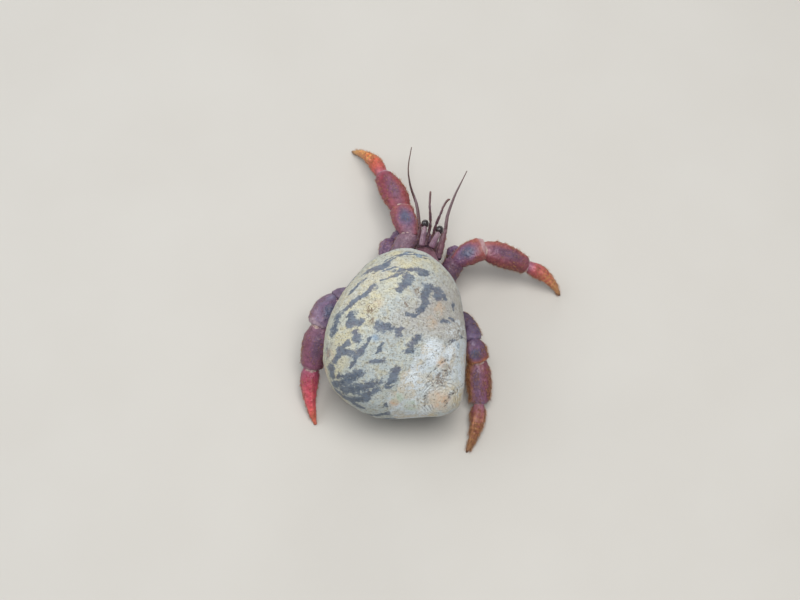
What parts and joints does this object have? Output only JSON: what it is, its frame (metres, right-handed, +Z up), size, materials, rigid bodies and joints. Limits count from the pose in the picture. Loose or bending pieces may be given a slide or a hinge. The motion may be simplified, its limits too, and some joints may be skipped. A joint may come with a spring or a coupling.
{
  "type": "hermit crab",
  "caption": "Life-size still model of a land hermit crab walking in a round top shell, with its claws, legs, eyes and feelers.",
  "frame": {"origin": "on the floor under the middle of the animal's footprint", "axes": "+Y the way the crab faces, +X the crab's right, +Z up"},
  "size_m": [0.098, 0.1242, 0.0615],
  "materials": {
    "shell": "worn chalky outer layer, cream with dark slate flames, pearly where it is rubbed through",
    "leg_plate": "hard skin, purple near the body to red and orange at the tips, pebbled, half gloss",
    "claw_plate": "hard purple skin with small raised grains, half gloss",
    "back_plate": "hard reddish purple skin with fine pits, half gloss",
    "flesh": "soft folded skin, pinkish tan, satin",
    "eye": "near-black, wet gloss",
    "feeler": "jointed dark red-brown, satin"
  },
  "bodies": {
    "root": {"shell": "shell", "thorax": "flesh", "rear_carapace": "flesh", "abdomen": "flesh", "carapace_shield": "back_plate", "left_eyestalk": "back_plate", "left_eye": "eye", "left_maxilliped": "feeler", "left_antenna_stalk": "feeler", "right_eyestalk": "back_plate", "right_eye": "eye", "right_maxilliped": "feeler", "right_antenna_stalk": "feeler", "left_antenna_whip": "feeler", "left_antennule_stalk": "feeler", "left_antennule_whip": "feeler", "right_antenna_whip": "feeler", "right_antennule_stalk": "feeler", "right_antennule_whip": "feeler", "left_claw_base": "claw_plate", "left_claw_arm": "claw_plate", "left_claw_wrist": "claw_plate", "left_claw_palm": "claw_plate", "left_claw_finger": "claw_plate", "right_claw_base": "claw_plate", "right_claw_arm": "claw_plate", "right_claw_wrist": "claw_plate", "right_claw_palm": "claw_plate", "right_claw_finger": "claw_plate", "front_left_leg_coxa": "leg_plate", "front_left_leg_merus": "leg_plate", "front_left_leg_carpus": "leg_plate", "front_left_leg_propodus": "leg_plate", "front_left_leg_dactyl": "leg_plate", "front_right_leg_coxa": "leg_plate", "front_right_leg_merus": "leg_plate", "front_right_leg_carpus": "leg_plate", "front_right_leg_propodus": "leg_plate", "front_right_leg_dactyl": "leg_plate", "rear_left_leg_coxa": "leg_plate", "rear_left_leg_merus": "leg_plate", "rear_left_leg_carpus": "leg_plate", "rear_left_leg_propodus": "leg_plate", "rear_left_leg_dactyl": "leg_plate", "rear_right_leg_coxa": "leg_plate", "rear_right_leg_merus": "leg_plate", "rear_right_leg_carpus": "leg_plate", "rear_right_leg_propodus": "leg_plate", "rear_right_leg_dactyl": "leg_plate", "left_small_leg": "leg_plate", "right_small_leg": "leg_plate"}
  },
  "joints": []
}
